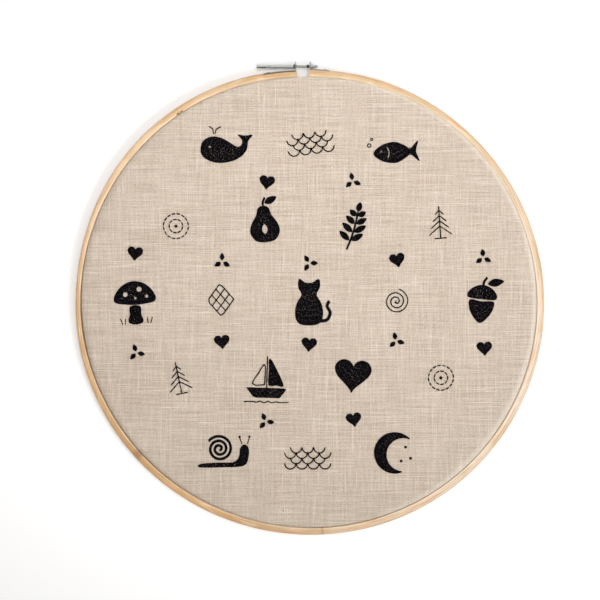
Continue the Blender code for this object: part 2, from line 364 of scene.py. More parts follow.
def linen_material():
    made, tree, shader = new_material("linen", 0.92, Sheen_Weight=0.10, Sheen_Roughness=0.6)
    place = node(tree, "ShaderNodeTexCoord").outputs["Object"]
    weft = stretched_noise(tree, place, (36 * MM, 0.80 * MM, 1.0), detail=1)
    warp = stretched_noise(tree, place, (0.80 * MM, 24 * MM, 1.0), detail=1, shift=7.3)
    pores = stretched_noise(tree, place, (0.90 * MM, 0.80 * MM, 1.0), detail=2, rough=0.6, shift=1.7)
    weft_slub = between(tree, stretched_noise(tree, place, (30 * MM, 0.9 * MM, 1.0), 1, shift=3.1), 0.60, 0.72)
    warp_slub = between(tree, stretched_noise(tree, place, (0.9 * MM, 32 * MM, 1.0), 1, shift=5.7), 0.60, 0.73)
    mottle = stretched_noise(tree, place, (45 * MM, 45 * MM, 1.0), detail=3)
    threads = math_node(tree, 'MULTIPLY_ADD', weft, 0.38, math_node(tree, 'MULTIPLY', warp, 0.23))
    threads = math_node(tree, 'MULTIPLY_ADD', pores, 0.405, threads)
    slubs = math_node(tree, 'MAXIMUM', weft_slub, math_node(tree, 'MULTIPLY', warp_slub, 0.75))
    tone = math_node(tree, 'MULTIPLY_ADD', slubs, 0.155, threads)
    tone = math_node(tree, 'MULTIPLY_ADD', mottle, 0.07, math_node(tree, 'SUBTRACT', tone, 0.053))
    colour = ramp(tree, tone, ((0.37, LINEN_DARK), (0.50, LINEN_MIDDLE), (0.67, LINEN_PALE)))
    centred = node(tree, "ShaderNodeMapping", {"Vector": place, "Location": (0, -CENTRE_Y, 0), "Scale": (1, 1, 0)})
    flat = centred.outputs[0]
    reach = node(tree, "ShaderNodeVectorMath", {0: flat}, operation='LENGTH').outputs["Value"]
    outward = node(tree, "ShaderNodeVectorMath", {0: flat}, operation='NORMALIZE').outputs["Vector"]
    lit_side = (math.cos(math.radians(EDGE_LIT_DEG)), math.sin(math.radians(EDGE_LIT_DEG)), 0)
    side = node(tree, "ShaderNodeVectorMath", {0: outward, 1: lit_side}, operation='DOT_PRODUCT').outputs["Value"]
    edge = between(tree, reach, HOOP_OUTER_R - 10.5 * MM, HOOP_OUTER_R - 7.2 * MM)
    # Painted light on the rolled edge: a paler tone on the side towards the lights stands in for a highlight, a greyer
    # tone on the far side for shade
    edge_painted_highlight = math_node(tree, 'MULTIPLY', edge, between(tree, side, -0.2, 0.6, 0.0, 0.35))
    edge_painted_shade = math_node(tree, 'MULTIPLY', edge, between(tree, side, -0.9, -0.3, 0.22, 0.0))
    colour = mix_colour(tree, edge_painted_highlight, colour, (0.78, 0.71, 0.62))
    colour = mix_colour(tree, edge_painted_shade, colour, (0.30, 0.24, 0.19))
    for x, y, half_length, half_width, turn_deg, darkness in SPECKS:
        mark = speck(tree, place, x, y, half_length, half_width, turn_deg)
        colour = mix_colour(tree, math_node(tree, 'MULTIPLY', mark, darkness), colour, (0.09, 0.06, 0.04))
    tree.links.new(colour, shader.inputs["Base Color"])
    height = math_node(tree, 'MULTIPLY_ADD', plain_weave(tree, place), 0.35, threads)
    height = math_node(tree, 'MULTIPLY_ADD', slubs, 0.5, height)
    bump(tree, shader, height, 0.35 * MM)
    return made


def plain_weave(tree, place):
    """Over and under in turn: each thread is high where its row and column are both odd or both even."""
    waves = []
    axes = node(tree, "ShaderNodeSeparateXYZ", {0: place})
    for axis in ("X", "Y"):
        turn = math_node(tree, 'MULTIPLY', axes.outputs[axis], math.pi / WEAVE_PITCH)
        waves.append(math_node(tree, 'SINE', turn))
    return math_node(tree, 'ABSOLUTE', math_node(tree, 'MULTIPLY', waves[0], waves[1]))


# Wood

WOOD_PINK = (0.80, 0.53, 0.36)
WOOD_OLIVE = (0.58, 0.46, 0.25)
WOOD_CREAM = (0.90, 0.74, 0.52)
WOOD_GRAIN = (0.48, 0.25, 0.10)

# Stains on the outer ring's face, given as the specks are
DABS = (
    (-99.5, 142.4, 2.0, 1.4, 35, 0.85),
    (-96.9, 144.2, 1.6, 1.0, 35, 0.70),
)


def wood_material(name, stops, patches=(), dabs=()):
    """Bent strip wood. Its grain coordinates are millimetres along the ring and round its section.

    The outer half of the front face, which is 15 to 19 mm round from the section's start, has painted shade, and its
    inner edge a painted highlight.
    """
    made, tree, shader = new_material(name, 0.58, Specular_IOR_Level=0.30)
    uv = node(tree, "ShaderNodeUVMap", uv_map="grain").outputs["UV"]
    axes = node(tree, "ShaderNodeSeparateXYZ", {0: uv})
    along = axes.outputs["X"]
    ring = math_node(tree, 'DIVIDE', along, math.tau * HOOP_OUTER_R / MM)
    base = ramp(tree, ring, stops)
    grain = stretched_noise(tree, uv, (42, 1.1, 1), detail=4, rough=0.65)
    fibre = stretched_noise(tree, uv, (9, 0.22, 1), detail=2, shift=4.2)
    pink = stretched_noise(tree, uv, (34, 14, 1), detail=2, shift=9.9)
    olive = stretched_noise(tree, uv, (26, 11, 1), detail=2, shift=17.3)
    cream = stretched_noise(tree, uv, (17, 2.6, 1), detail=2, shift=23.9)
    darker = between(tree, grain, 0.47, 0.64, 0.0, 0.60)
    colour = mix_colour(tree, between(tree, pink, 0.50, 0.66, 0.0, 0.50), base, WOOD_PINK)
    colour = mix_colour(tree, between(tree, olive, 0.52, 0.68, 0.0, 0.45), colour, WOOD_OLIVE)
    colour = mix_colour(tree, between(tree, cream, 0.52, 0.70, 0.0, 0.45), colour, WOOD_CREAM)
    colour = mix_colour(tree, darker, colour, WOOD_GRAIN)
    colour = mix_colour(tree, between(tree, fibre, 0.35, 0.62, 0.20, 0.0), colour, (0.34, 0.17, 0.065))
    # Painted shade on the outer half of the front face, and a painted highlight along its inner edge
    colour = mix_colour(tree, between(tree, axes.outputs["Y"], 15.0, 18.6, 0.34, 0.0), colour, WOOD_GRAIN)
    colour = mix_colour(tree, between(tree, axes.outputs["Y"], 18.0, 19.4, 0.0, 0.34), colour, WOOD_CREAM)
    for place, half_length, darkness in patches:
        far = math_node(tree, 'ABSOLUTE', math_node(tree, 'SUBTRACT', along, place))
        mark = between(tree, far, 0.2 * half_length, half_length, darkness, 0.0)
        colour = mix_colour(tree, mark, colour, (0.22, 0.11, 0.045))
    spot = node(tree, "ShaderNodeTexCoord").outputs["Object"]
    for x, y, half_length, half_width, turn_deg, darkness in dabs:
        mark = speck(tree, spot, x, y, half_length, half_width, turn_deg, z=HOOP_DEPTH - 0.6 * MM)
        colour = mix_colour(tree, math_node(tree, 'MULTIPLY', mark, darkness), colour, (0.16, 0.085, 0.035))
    tree.links.new(colour, shader.inputs["Base Color"])
    height = math_node(tree, 'MULTIPLY_ADD', fibre, 0.6, grain)
    bump(tree, shader, height, 0.12 * MM)
    return made


# Steel and thread

# Dark colour for painted shade on the screw
STEEL_PAINTED_SHADE = (0.10, 0.075, 0.06)

# Painted shadows round the screw, where the ears shade it: where along it, their half-length, and how dark
EAR_SHADOW_BANDS = ((-11.2, 0.9, 0.85), (-0.9, 1.1, 0.85))


# Painted shade in the slot's inside, and the collar's tone: from where to where along the screw, how far from its axis,
# colour and strength
SLOT_PAINTED_SHADE = (BARREL_END_X - 1.0 * MM, BARREL_END_X + SLOT_DEPTH, BARREL_R - 0.25 * MM, STEEL_PAINTED_SHADE, 0.95)
COLLAR_CORE = (EAR_RIGHT_X + BRACKET_WALL / 2, COLLAR_END_X + 1.0 * MM, COLLAR_R + 0.2 * MM, (0.86, 0.87, 0.87), 0.95)


def steel_material(name, worn, bright, bands=(), cores=()):
    made, tree, shader = new_material(name, 0.30, metallic=1.0)
    place = node(tree, "ShaderNodeTexCoord").outputs["Object"]
    wear = stretched_noise(tree, place, (2.5 * MM, 0.6 * MM, 0.6 * MM), detail=4, rough=0.65)
    colour = ramp(tree, wear, ((0.35, worn), (0.60, bright)))
    along = node(tree, "ShaderNodeSeparateXYZ", {0: place}).outputs["X"]
    # Painted shadows cast by the ears across the screw
    for x, half_length, darkness in bands:
        far = math_node(tree, 'ABSOLUTE', math_node(tree, 'SUBTRACT', along, x * MM))
        mark = between(tree, far, 0.6 * half_length * MM, half_length * MM, darkness, 0.0)
        colour = mix_colour(tree, mark, colour, STEEL_PAINTED_SHADE)
    centred = node(tree, "ShaderNodeMapping", {
        "Vector": place, "Location": (0, -CENTRE_Y - AXIS_R, -AXIS_Z), "Scale": (0, 1, 1)}).outputs[0]
    reach = node(tree, "ShaderNodeVectorMath", {0: centred}, operation='LENGTH').outputs["Value"]
    # Recolours the inside of a recess or a boss: painted shade inside the slot, a paler tone on the collar
    for start, end, radius, tone, strength in cores:
        inside = between(tree, reach, radius - 0.15 * MM, radius + 0.15 * MM, strength, 0.0)
        after = between(tree, along, start - 0.1 * MM, start + 0.1 * MM)
        before = between(tree, along, end - 0.1 * MM, end + 0.1 * MM, 1.0, 0.0)
        mark = math_node(tree, 'MULTIPLY', inside, math_node(tree, 'MULTIPLY', after, before))
        colour = mix_colour(tree, mark, colour, tone)
    tree.links.new(colour, shader.inputs["Base Color"])
    tree.links.new(between(tree, wear, 0.35, 0.75, 0.40, 0.24), shader.inputs["Roughness"])
    scratch = stretched_noise(tree, place, (1.6 * MM, 0.12 * MM, 0.12 * MM), detail=3, shift=2.0)
    bump(tree, shader, scratch, 0.02 * MM)
    return made


def thread_material():
    """Twisted cotton floss. Its grain coordinates are millimetres along the thread, and turns around it."""
    made, tree, shader = new_material("floss", 0.62, Specular_IOR_Level=0.05)
    axes = node(tree, "ShaderNodeSeparateXYZ", {0: node(tree, "ShaderNodeUVMap", uv_map="grain").outputs["UV"]})
    turns = math_node(tree, 'MULTIPLY_ADD', axes.outputs["X"], 1.1, math_node(tree, 'MULTIPLY', axes.outputs["Y"], 2.0))
    twist = math_node(tree, 'SINE', math_node(tree, 'MULTIPLY', turns, math.tau))
    twist = math_node(tree, 'MULTIPLY_ADD', twist, 0.5, 0.5)
    place = node(tree, "ShaderNodeTexCoord").outputs["Object"]
    fuzz = stretched_noise(tree, place, (0.5 * MM, 0.5 * MM, 0.5 * MM), detail=3)
    colour = ramp(tree, fuzz, ((0.42, (0.0004, 0.0003, 0.0004)), (0.80, (0.006, 0.005, 0.006))))
    # Painted highlights: sparse pale flecks stand in for the sheen on the stitches' crests
    lit = between(tree, stretched_noise(tree, place, (0.9 * MM, 0.9 * MM, 0.9 * MM), 1, shift=8.8), 0.57, 0.69, 0.0, 0.9)
    colour = mix_colour(tree, lit, colour, (0.050, 0.043, 0.053))
    tree.links.new(colour, shader.inputs["Base Color"])
    bump(tree, shader, twist, 0.08 * MM)
    return made


# The wooden rings

def rounded_section(inner_r, outer_r, height, inner_ease, outer_ease, front_ease, front_drop=None, steps=5):
    """A ring's section as (radius, z), anticlockwise, with its four edges rounded and its flats cut in short steps."""
    drop = front_ease if front_drop is None else front_drop
    corners = (arc((inner_r + inner_ease, inner_ease), inner_ease, 180, 270, steps),
               arc((outer_r - outer_ease, outer_ease), outer_ease, 270, 360, steps),
               arc((outer_r - front_ease, height - drop), front_ease, 0, 90, steps, drop),
               arc((inner_r + inner_ease, height - inner_ease), inner_ease, 90, 180, steps))
    section = []
    for here, after in zip(corners, corners[1:] + corners[:1]):
        section.extend(here)
        for share in (0.2, 0.4, 0.6, 0.8):
            section.append(here[-1] + (after[0] - here[-1]) * share)
    return np.array(section)


def perimeter(section):
    """Distance round a closed section at each point, and back at the first one, in millimetres."""
    steps = np.linalg.norm(np.roll(section, -1, axis=0) - section, axis=1)
    return np.concatenate(([0.0], np.cumsum(steps))) / MM


def ring_material_place(angle, start):
    """Millimetres along the ring from its cut end."""
    return (angle - start) * HOOP_OUTER_R / MM


CHIP_DEG = 124.0              # a small chip on the outer ring's inner edge
CHIP_HALF = 0.9 * MM
CHIP_DEPTH = 1.0 * MM
DENTS_DEG = (118.5, 131.0, 203.0, 327.0)
CROWN = 0.30 * MM             # how much the front face falls away to its edges
GROOVE_OPENS_DEG = 232.0      # where the groove round the cloth is widest, opposite the tight upper right
GROOVE_OPENS = 0.40 * MM
SWAY = 0.40 * MM              # how much thicker the strip is at the right, and thinner at the left

# Where the strip's edges stray: direction and spread in degrees, and how far outward in millimetres
INNER_STRAYS = ((337, 40, 0.29), (252, 16, -0.37), (190, 9, 0.30), (185, 13, 0.48))
OUTER_STRAYS = ((297, 26, 0.20), (224, 22, 0.42), (171, 17, -1.00), (134, 12, 0.33), (50, 28, -0.90))
BEVEL_DEG = 108.0             # where the front inner edge is worn to a slope, and how far round and deep
BEVEL_SPREAD_DEG = 40.0
BEVEL = 0.40 * MM
FOOT_SUNK = 1.0 * MM          # the left foot is let into the wood, and the right one lies on it
FOOT_RIGHT_SUNK = GAP + 0.10 * MM


def strays(angle, rows):
    return sum(depth * MM * bell(off(angle, place), math.radians(spread)) for place, spread, depth in rows)


def groove(angle):
    """How far the ring's front inner edge stands back from where the tightest stretch has it."""
    opens = 0.5 + 0.5 * np.cos(angle - math.radians(GROOVE_OPENS_DEG))
    return GROOVE_OPENS * opens ** 2 + strays(angle, INNER_STRAYS)


def outer_ring(finish):
    """Split at the top. The strip is a little uneven by hand bending, and its front edge is chipped and dented."""
    inner_r = HOOP_OUTER_R - OUTER_WALL
    start = rim_angle(HOOP_OUTER_R, SPLIT_LEFT_X)
    end = math.tau + rim_angle(HOOP_OUTER_R, SPLIT_RIGHT_X)
    foot_end = rim_angle(HOOP_OUTER_R, FOOT_LEFT_X) + 0.1 * MM / HOOP_OUTER_R
    fine = np.radians(CHIP_DEG) + np.linspace(-1, 1, 15) * 1.6 * CHIP_HALF / HOOP_OUTER_R
    angle = np.unique(np.concatenate((np.linspace(start, end, 640), fine, (foot_end, foot_end + 0.005))))
    section = rounded_section(inner_r, HOOP_OUTER_R, HOOP_DEPTH, 0.45 * MM, 1.2 * MM, 1.0 * MM)
    radius = rim(section[None, :, 0], angle[:, None])
    z = np.repeat(section[None, :, 1], len(angle), axis=0)
    outward = (section[:, 0] - inner_r) / OUTER_WALL
    edge = wobble(angle, 0.16 * MM, 4) + SWAY * np.cos(angle) + strays(angle, OUTER_STRAYS)
    edge = edge - np.interp(angle, (foot_end, foot_end + 0.005), (FOOT_SUNK + 0.05 * MM, 0))
    radius = radius + edge[:, None] * outward
    front = np.clip(section[:, 1] / HOOP_DEPTH * 2 - 1, 0, 1)
    z = z + wobble(angle, 0.15 * MM, 8)[:, None] * front - CROWN * (2 * outward - 1) ** 2 * front
    radius = radius + (groove(angle)[:, None] - 0.24 * MM) * (1 - outward) * front
    bevel = BEVEL * bell(off(angle, BEVEL_DEG), math.radians(BEVEL_SPREAD_DEG))
    z = z - bevel[:, None] * bell(section[:, 0] - inner_r, 1.3 * MM) * front
    inner_front = bell(section[:, 0] - inner_r, 1.1 * MM) * bell(section[:, 1] - HOOP_DEPTH, 1.3 * MM)
    chip = CHIP_DEPTH * bell((angle - math.radians(CHIP_DEG)) * HOOP_OUTER_R, CHIP_HALF)
    for place in DENTS_DEG:
        chip = chip + 0.28 * MM * bell((angle - math.radians(place)) * HOOP_OUTER_R, 2.2 * MM)
    z = z - chip[:, None] * inner_front
    radius = radius + 0.6 * chip[:, None] * inner_front
    points = around(radius, angle[:, None], z)
    rows, columns = points.shape[:2]
    faces = list(grid_faces(rows, columns, close_columns=True))
    faces.append(list(range(columns)))
    faces.append(list(range((rows - 1) * columns, rows * columns)))
    across = perimeter(section)
    uv = grid_uv(ring_material_place(angle, start), across)
    caps = np.stack((section[:, 1] / MM * 3, section[:, 0] / MM), axis=-1)
    uv = np.concatenate((uv.reshape(-1, 2), caps, caps))
    ring = make("ring_outer", points, faces, finish, uv=uv)
    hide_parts("outer_ring")
    return ring


def inner_ring(finish):
    """Closed, with its front edge rounded for the cloth that rolls over it."""
    outer_r = HOOP_OUTER_R - OUTER_WALL - GAP - CLOTH - GAP
    inner_r = outer_r - INNER_WALL
    angle = np.linspace(0, math.tau, 541)[:-1]
    section = rounded_section(inner_r, outer_r, HOOP_DEPTH, 0.6 * MM, 0.6 * MM, ROLL_WIDE - CLOTH - GAP,
                              ROLL_DEEP - CLOTH - GAP)
    radius = rim(section[None, :, 0], angle[:, None])
    inward = (outer_r - section[:, 0]) / INNER_WALL
    radius = radius + wobble(angle, 0.12 * MM, 15)[:, None] * inward
    points = around(radius, angle[:, None], np.repeat(section[None, :, 1], len(angle), axis=0))
    rows, columns = points.shape[:2]
    faces = grid_faces(rows, columns, close_rows=True, close_columns=True)
    along = np.append(angle, math.tau) * outer_r / MM
    ring = make("ring_inner", points, faces, finish, uv=grid_uv(along, perimeter(section)))
    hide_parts("inner_ring")
    return ring


# The cloth

PROUD_DEG = 54.0              # where the cloth's edge is drawn up level with the ring, so that no groove shows
PROUD_SPREAD = math.radians(42)
PROUD = 0.75 * MM

# Where it dips deeper than elsewhere: direction and spread in degrees, and how far in millimetres
DIPS = ((230, 50, 0.64), (345, 32, 0.30))


def face_relief(x, y):
    """How far the stretched cloth stands off a true plane, from places relative to the hoop's centre."""
    angle, radius = np.arctan2(y, x), np.hypot(x, y)
    to_rim = np.clip((HOOP_OUTER_R - OUTER_WALL - GAP - ROLL_WIDE - radius), 0, None)
    pull = 0.10 * MM * np.sin(26 * angle + 1.5 * np.sin(3 * angle)) * bell(to_rim, 9 * MM)
    billow = 0.10 * MM * (np.sin(x / (31 * MM) + 0.6) * np.sin(y / (37 * MM) + 1.9) - 1)
    return (pull + billow) * np.clip(to_rim / (2 * MM), 0, 1)


def linen(finish):
    """One sheet: the face, its roll over the inner ring, the band between the rings, and the same again inside."""
    outer_r = HOOP_OUTER_R - OUTER_WALL - GAP
    roll = (outer_r - ROLL_WIDE, FACE_Z - ROLL_DEEP)
    face_rings = np.concatenate((np.linspace(2 * MM, roll[0] - 4 * MM, 50), roll[0] - np.array((2.6, 1.2)) * MM))
    face = np.stack((face_rings, np.full(len(face_rings), FACE_Z)), axis=-1)
    band_z = np.linspace(roll[1], CLOTH_HEM_Z, 8)[1:]
    band = np.stack((np.full(len(band_z), outer_r), band_z), axis=-1)
    outside = np.concatenate((face, arc(roll, ROLL_WIDE, 90, 0, 12, ROLL_DEEP), band))
    under = face[::-2] - (0, CLOTH)
    inner_band = band[::-1] - (CLOTH, 0)
    inner_roll = arc(roll, ROLL_WIDE - CLOTH, 0, 90, 10, ROLL_DEEP - CLOTH)
    inside = np.concatenate((inner_band, inner_roll, under))
    section = np.concatenate((outside, inside))
    angle = np.linspace(0, math.tau, 481)[:-1]
    radius = rim(section[:, None, 0], angle[None, :])
    flat = radius * np.cos(angle)[None, :], radius * np.sin(angle)[None, :]
    on_face = (section[:, 0] <= roll[0] + 1e-6)[:, None]
    z = section[:, None, 1] + np.where(on_face, face_relief(*flat), 0)
    hem = bell(section[:, 1] - CLOTH_HEM_Z, 1.5 * MM)[:, None] * (wobble(angle, 0.5 * MM, 23, 5, 40) + 0.3 * MM)
    lift = PROUD * np.exp(-(off(angle, PROUD_DEG) / PROUD_SPREAD) ** 4)
    lift = lift - strays(angle, DIPS)
    share = np.interp(section[:, 1], (CLOTH_HEM_Z, roll[1], FACE_Z), (0, 1, 0))
    under_share = (1 - CLOTH / ROLL_DEEP) * np.interp(section[:, 1], (CLOTH_HEM_Z, roll[1], FACE_Z - CLOTH), (0, 1, 0))
    share[len(outside):] = under_share[len(outside):]
    points = around(radius, angle[None, :], z + hem + share[:, None] * lift)
    rows, columns = points.shape[:2]
    faces = list(grid_faces(rows, columns, close_columns=True))
    faces.append(list(range(columns)))
    faces.append(list(range((rows - 1) * columns, rows * columns)))
    cloth = make("linen_cloth", points, faces, finish, smooth_deg=60)
    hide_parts("cloth")
    return cloth


# The screw and its brackets

def turned(name, profile, finish, body, segments=48):
    """A piece turned about the screw's axis, from (x, radius) points that start and end at the axis."""
    profile = np.array(profile)
    angle = np.linspace(0, math.tau, segments + 1)[:-1]
    x = np.repeat(profile[:, :1], segments, axis=1)
    y = CENTRE_Y + AXIS_R + profile[:, 1:] * np.cos(angle)[None, :]
    z = AXIS_Z + profile[:, 1:] * np.sin(angle)[None, :]
    points = np.stack((x, y, z), axis=-1)
    rows = len(profile)
    faces = list(grid_faces(rows, segments, close_columns=True))
    faces.append(list(range(segments)))
    faces.append(list(range((rows - 1) * segments, rows * segments)))
    return make(name, points, faces, finish, body=body, smooth_deg=35)


def threaded_rod(finish):
    """A cut thread: the radius follows the turn of a helix, and fades out at the rod's two ends."""
    segments = 32
    start_x = EAR_LEFT_X - BRACKET_WALL / 2 - GAP
    x = np.linspace(start_x, ROD_END_X, 360)
    angle = np.linspace(0, math.tau, segments + 1)[:-1]
    turn = (x[:, None] / THREAD_PITCH - angle[None, :] / math.tau) % 1
    groove = 1 - np.abs(2 * turn - 1)
    fade = np.clip((ROD_END_X - x) / (0.6 * MM), 0, 1) * np.clip((x - start_x) / (0.8 * MM), 0, 1)
    bevel = np.clip(0.45 * MM - (ROD_END_X - x), 0, None)
    radius = ROD_R - THREAD_DEPTH * groove * fade[:, None] - bevel[:, None]
    points = np.stack((np.broadcast_to(x[:, None], radius.shape),
                       CENTRE_Y + AXIS_R + radius * np.cos(angle)[None, :],
                       AXIS_Z + radius * np.sin(angle)[None, :]), axis=-1)
    faces = list(grid_faces(len(x), segments, close_columns=True))
    faces.append(list(range(segments)))
    faces.append(list(range((len(x) - 1) * segments, len(x) * segments)))
    return make("screw_rod", points, faces, finish, body="screw", smooth_deg=60)


def barrel(finish):
    """The long slim head: a slotted end set off by a groove."""
    shoulder_x = EAR_LEFT_X - BRACKET_WALL / 2 - GAP
    waist_x = BARREL_END_X + WAIST_FROM_END
    ease = 0.25 * MM
    profile = [(shoulder_x, 0.02 * MM), (shoulder_x, BARREL_R - ease)]
    profile += [(x, r) for x, r in arc((shoulder_x - ease, BARREL_R - ease), ease, 70, 90, 3)]
    profile += [(waist_x + WAIST_LENGTH + 0.1 * MM, BARREL_R), (waist_x + WAIST_LENGTH, BARREL_R - 0.03 * MM)]
    dip = BARREL_R - WAIST_R
    for share in np.linspace(0.9, 0.1, 9):
        profile.append((waist_x + WAIST_LENGTH * share, BARREL_R - dip * math.sin(math.pi * share) ** 0.6))
    profile += [(waist_x, BARREL_R - 0.03 * MM), (waist_x - 0.1 * MM, BARREL_R)]
    corner = (BARREL_END_X + BARREL_ROUND, BARREL_R - BARREL_ROUND)
    profile += [(x, r) for x, r in arc(corner, BARREL_ROUND, 90, 180, 7)]
    profile.append((BARREL_END_X, 0.02 * MM))
    made = turned("screw_barrel", profile, finish, "screw")
    axis_y = CENTRE_Y + AXIS_R
    boolean(made, tool_box((BARREL_END_X, axis_y, AXIS_Z), (2 * SLOT_DEPTH, SLOT_WIDTH, 4 * BARREL_R), SLOT_TURN))
    made.data.set_sharp_from_angle(angle=math.radians(35))
    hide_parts("screw")
    return made


def bracket(name, node_name, far_x, ear_x, sunk, finish, collar_end_x=None):
    """A strip of sheet metal: a foot along the rim, a bend, and an ear with a round top about the screw."""
    toward_ear = math.copysign(1, ear_x - far_x)
    middle_r = HOOP_OUTER_R + GAP + BRACKET_WALL / 2 - sunk
    stations = []
    far, near = rim_angle(middle_r, far_x), rim_angle(middle_r, ear_x - toward_ear * BEND_R)
    corner = rim_angle(middle_r, far_x + toward_ear * FOOT_CORNER)
    for share in np.linspace(0, 1, 6):
        angle = far + (corner - far) * (1 - math.cos(share * math.pi / 2))
        inset = FOOT_CORNER * (1 - math.sin(share * math.pi / 2))
        stations.append((angle, EAR_R - inset))
    for share in np.linspace(0, 1, 13)[1:]:
        stations.append((corner + (near - corner) * share, EAR_R))
    rows = []
    for angle, half_width in stations:
        radius = rim(middle_r, angle)
        point = Vector((radius * math.cos(angle), radius * math.sin(angle) + CENTRE_Y, AXIS_Z))
        rows.append((point, Vector((math.cos(angle), math.sin(angle), 0)), half_width))
    base_y = rows[-1][0].y
    for turn in np.linspace(0, math.pi / 2, 9)[1:]:
        point = Vector((ear_x - toward_ear * BEND_R * (1 - math.sin(turn)),
                        base_y + BEND_R * (1 - math.cos(turn)), AXIS_Z))
        rows.append((point, Vector((-toward_ear * math.sin(turn), math.cos(turn), 0)), EAR_R))
    axis_y = CENTRE_Y + AXIS_R
    for rise in np.radians(np.linspace(0, 82, 14)):
        point = Vector((ear_x, axis_y + EAR_R * math.sin(rise), AXIS_Z))
        rows.append((point, Vector((-toward_ear, 0, 0)), EAR_R * math.cos(rise)))
    ease = 0.14 * MM
    half = BRACKET_WALL / 2
    points = []
    for point, across, half_width in rows:
        loop = []
        for side, rise in ((-1, -1), (1, -1), (1, 1), (-1, 1)):
            flat = (side * (half - ease), rise * half_width)
            edge = (side * half, rise * (half_width - ease))
            pair = (flat, edge) if side * rise < 0 else (edge, flat)
            loop.extend(pair)
        points.append([point + across * a + Vector((0, 0, b)) for a, b in loop])
    points = np.array([[list(corner) for corner in loop] for loop in points])
    count = points.shape[1]
    faces = list(grid_faces(len(points), count, close_columns=True))
    faces.append(list(range(count)))
    faces.append(list(range((len(points) - 1) * count, len(points) * count)))
    made = make(name, points, faces, finish, smooth_deg=50)
    if collar_end_x is not None:
        boolean(made, tool_cylinder(COLLAR_R, (ear_x, axis_y, AXIS_Z), (collar_end_x, axis_y, AXIS_Z), 48), 'UNION')
    reach = 4 * BRACKET_WALL
    boolean(made, tool_cylinder(ROD_R + 0.15 * MM, (ear_x - reach, axis_y, AXIS_Z), (ear_x + reach, axis_y, AXIS_Z)))
    made.data.set_sharp_from_angle(angle=math.radians(40))
    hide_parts(node_name)
    return made


def tack(name, node_name, tack_x, sunk, finish):
    """A domed head on the foot, and the shank down through it into the wood."""
    angle = rim_angle(HOOP_OUTER_R, tack_x)
    outward = np.array((math.cos(angle), math.sin(angle), 0))
    side = np.array((-math.sin(angle), math.cos(angle), 0))
    seat = rim(HOOP_OUTER_R, angle) * outward + (0, CENTRE_Y, AXIS_Z) + outward * (TACK_SEAT - 0.15 * MM - sunk)
    tip = TACK_SEAT + TACK_BITE - GAP
    profile = [(0.02 * MM, -tip), (TACK_SHANK_R * 0.5, -tip + 0.2 * MM), (TACK_SHANK_R, -tip + 0.9 * MM)]
    profile += [(TACK_SHANK_R, 0.0), (TACK_HEAD_R - 0.1 * MM, 0.0), (TACK_HEAD_R, 0.1 * MM)]
    for rise in np.radians((20, 38, 54, 68, 80, 88)):
        profile.append((TACK_HEAD_R * math.cos(rise), 0.1 * MM + (TACK_HEAD_HEIGHT - 0.1 * MM) * math.sin(rise)))
    profile = np.array(profile)
    segments = 32
    turn = np.linspace(0, math.tau, segments + 1)[:-1]
    spread = np.cos(turn)[:, None] * side + np.sin(turn)[:, None] * np.array((0, 0, 1))
    points = seat + profile[:, None, 1:] * outward + profile[:, None, :1] * spread[None]
    faces = list(grid_faces(len(profile), segments, close_columns=True))
    faces.append(list(range(segments)))
    faces.append(list(range((len(profile) - 1) * segments, len(profile) * segments)))
    made = make(name, points, faces, finish, smooth_deg=45)
    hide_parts(node_name)
    return made


# Stitches

FLOSS_R = 0.30 * MM           # two strands of floss, as they lie
LINE_R = 0.46 * MM            # three strands, for lines
FILL_PITCH = 0.47 * MM
LONGEST_FILL = 7.5 * MM
LINE_STITCH = 3.4 * MM
STITCH_SHARES = np.array((0.0, 0.06, 0.18, 0.50, 0.82, 0.94, 1.0))
STITCH_HEIGHTS = np.array((-1.3, 0.30, 0.95, 1.10, 0.95, 0.30, -1.3))
STITCH_SWELL = np.array((0.60, 0.90, 1.00, 1.05, 1.00, 0.90, 0.60))
SIDES = 7


def stitch_arrays(stitches):
    """Points, faces and grain places of straight stitches, given as (x0, y0, x1, y1, radius, lift) rows.

    Places are relative to the hoop's centre. Each stitch is a tube that arches over the cloth and dips into it.
    """
    rows = np.array(stitches)
    start, end, radius, lift = rows[:, 0:2], rows[:, 2:4], rows[:, 4], rows[:, 5]
    flat = start[:, None] + (end - start)[:, None] * STITCH_SHARES[None, :, None]
    ground = FACE_Z + face_relief(flat[..., 0], flat[..., 1])
    rise = radius[:, None] * STITCH_HEIGHTS + np.where(STITCH_HEIGHTS > 0, 1, 0) * lift[:, None]
    centre = np.concatenate((flat + (0, CENTRE_Y), (ground + rise)[..., None]), axis=-1)
    along = np.gradient(centre, axis=1)
    along /= np.linalg.norm(along, axis=-1, keepdims=True)
    length = np.linalg.norm(end - start, axis=1)
    side = np.stack((start[:, 1] - end[:, 1], end[:, 0] - start[:, 0], np.zeros(len(rows))), axis=-1)
    side /= np.linalg.norm(side, axis=-1, keepdims=True)
    side = np.broadcast_to(side[:, None], along.shape)
    up = np.cross(along, side)
    turn = np.linspace(0, math.tau, SIDES + 1)[:-1]
    swell = (radius[:, None] * STITCH_SWELL)[..., None, None]
    ring = np.cos(turn)[:, None] * side[:, :, None] + np.sin(turn)[:, None] * up[:, :, None]
    points = centre[:, :, None] + swell * ring
    steps = len(STITCH_SHARES)
    tube = grid_faces(steps, SIDES, close_columns=True)
    around_it = np.arange(SIDES + 1) / SIDES
    faces, uv = [], []
    for i in range(len(rows)):
        first = i * steps * SIDES
        faces.extend((tube + first).tolist())
        faces.append(list(range(first, first + SIDES)))
        faces.append(list(range(first + (steps - 1) * SIDES, first + steps * SIDES)))
        uv.append(grid_uv(STITCH_SHARES * length[i] / MM, around_it).reshape(-1, 2))
        uv.append(np.zeros((2 * SIDES, 2)))
    return points.reshape(-1, 3), faces, np.concatenate(uv)


